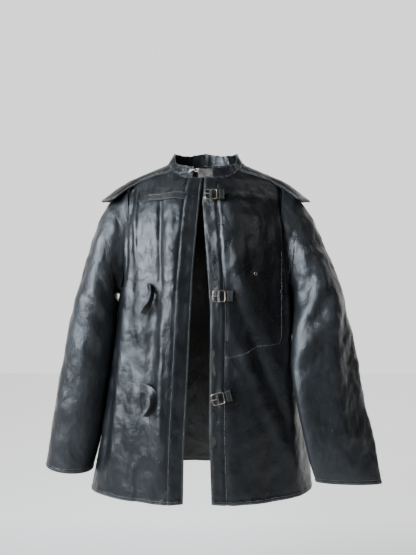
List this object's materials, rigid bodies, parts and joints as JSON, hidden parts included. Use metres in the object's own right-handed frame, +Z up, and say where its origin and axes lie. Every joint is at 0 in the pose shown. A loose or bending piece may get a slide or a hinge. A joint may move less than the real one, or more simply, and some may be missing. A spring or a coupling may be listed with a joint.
{
  "type": "leather welding jacket",
  "caption": "Boxy leather work jacket hung open, with stand collar, shoulder flaps, long sleeves, and strap and buckle closures that swing.",
  "frame": {"origin": "centre of the neck opening at the height of the collar seam, where the garment rests round the neck and on the shoulders", "axes": "+Z up the neck, -Y out of the open front, +X towards the wearer's left arm"},
  "size_m": [0.763, 0.2848, 0.8098],
  "materials": {
    "jacket_leather": "smooth pigmented black leather with a soft shine",
    "facing_leather": "dark brown flesh side",
    "strap_leather": "black leather with raw edges",
    "tab_fabric": "grey-brown tape",
    "buckle_metal": "worn antique brass wire",
    "hook_metal": "worn brass wire",
    "eyelet_metal": "dull brass"
  },
  "bodies": {
    "jacket": {"front_right_panel": "jacket_leather", "front_left_panel": "jacket_leather", "back_panel": "jacket_leather", "yoke": "jacket_leather", "front_right_facing": "facing_leather", "front_left_facing": "facing_leather", "pocket_bag": "facing_leather", "sleeve_right_upper": "jacket_leather", "sleeve_left_upper": "jacket_leather", "collar_band": "jacket_leather", "collar_facing": "facing_leather", "collar_tab": "tab_fabric", "collar_hook": "hook_metal", "collar_eye": "hook_metal", "chest_eyelets": "eyelet_metal", "strap_top_anchor": "strap_leather", "strap_middle_anchor": "strap_leather", "strap_lower_anchor": "strap_leather", "buckle_top_chape": "strap_leather", "buckle_top_keeper": "strap_leather", "buckle_middle_chape": "strap_leather", "buckle_middle_keeper": "strap_leather", "buckle_lower_chape": "strap_leather", "buckle_lower_keeper": "strap_leather"},
    "sleeve_right": {"sleeve_right_lower": "jacket_leather"},
    "sleeve_left": {"sleeve_left_lower": "jacket_leather"},
    "strap_top": {"strap_top_free": "strap_leather"},
    "strap_middle": {"strap_middle_free": "strap_leather"},
    "strap_lower": {"strap_lower_free": "strap_leather"},
    "buckle_top_frame": {"buckle_top_frame": "buckle_metal"},
    "buckle_top_tongue": {"buckle_top_tongue": "buckle_metal"},
    "buckle_middle_frame": {"buckle_middle_frame": "buckle_metal"},
    "buckle_middle_tongue": {"buckle_middle_tongue": "buckle_metal"},
    "buckle_lower_frame": {"buckle_lower_frame": "buckle_metal"},
    "buckle_lower_tongue": {"buckle_lower_tongue": "buckle_metal"}
  },
  "joints": [
    {"name": "sleeve_right_swing", "type": "hinge", "parent": "jacket", "child": "sleeve_right", "pos_m": [-0.295, -0.006, -0.2637], "axis": [0, 1, 0], "range_deg": [0, 40]},
    {"name": "sleeve_left_swing", "type": "hinge", "parent": "jacket", "child": "sleeve_left", "pos_m": [0.306, -0.012, -0.2637], "axis": [0, -1, 0], "range_deg": [0, 40]},
    {"name": "strap_top_swing", "type": "hinge", "parent": "jacket", "child": "strap_top", "pos_m": [-0.1009, -0.0824, -0.083], "axis": [0, -0.5436, -0.8394], "range_deg": [0, 120]},
    {"name": "strap_middle_swing", "type": "hinge", "parent": "jacket", "child": "strap_middle", "pos_m": [-0.1249, -0.11014, -0.283], "axis": [0, -0.0399, -0.9992], "range_deg": [0, 40]},
    {"name": "strap_lower_swing", "type": "hinge", "parent": "jacket", "child": "strap_lower", "pos_m": [-0.1399, -0.11349, -0.498], "axis": [0, -0.0519, -0.9987], "range_deg": [0, 100]},
    {"name": "buckle_top_tilt", "type": "hinge", "parent": "jacket", "child": "buckle_top_frame", "pos_m": [0.01159, -0.10334, -0.08117], "axis": [0, 0.4046, 0.9145], "range_deg": [-15, 8]},
    {"name": "buckle_top_tongue_lift", "type": "hinge", "parent": "buckle_top_frame", "child": "buckle_top_tongue", "pos_m": [0.01159, -0.10334, -0.08117], "axis": [0, 0.4046, 0.9145], "range_deg": [0, 110]},
    {"name": "buckle_middle_tilt", "type": "hinge", "parent": "jacket", "child": "buckle_middle_frame", "pos_m": [0.02834, -0.13341, -0.30083], "axis": [0, 0.0244, 0.9997], "range_deg": [-15, 8]},
    {"name": "buckle_middle_tongue_lift", "type": "hinge", "parent": "buckle_middle_frame", "child": "buckle_middle_tongue", "pos_m": [0.02834, -0.13341, -0.30083], "axis": [0, 0.0244, 0.9997], "range_deg": [0, 110]},
    {"name": "buckle_lower_tilt", "type": "hinge", "parent": "jacket", "child": "buckle_lower_frame", "pos_m": [0.02625, -0.13829, -0.51582], "axis": [-0.2418, 0.0167, 0.9702], "range_deg": [-15, 8]},
    {"name": "buckle_lower_tongue_lift", "type": "hinge", "parent": "buckle_lower_frame", "child": "buckle_lower_tongue", "pos_m": [0.02625, -0.13829, -0.51582], "axis": [-0.2418, 0.0167, 0.9702], "range_deg": [0, 110]}
  ]
}
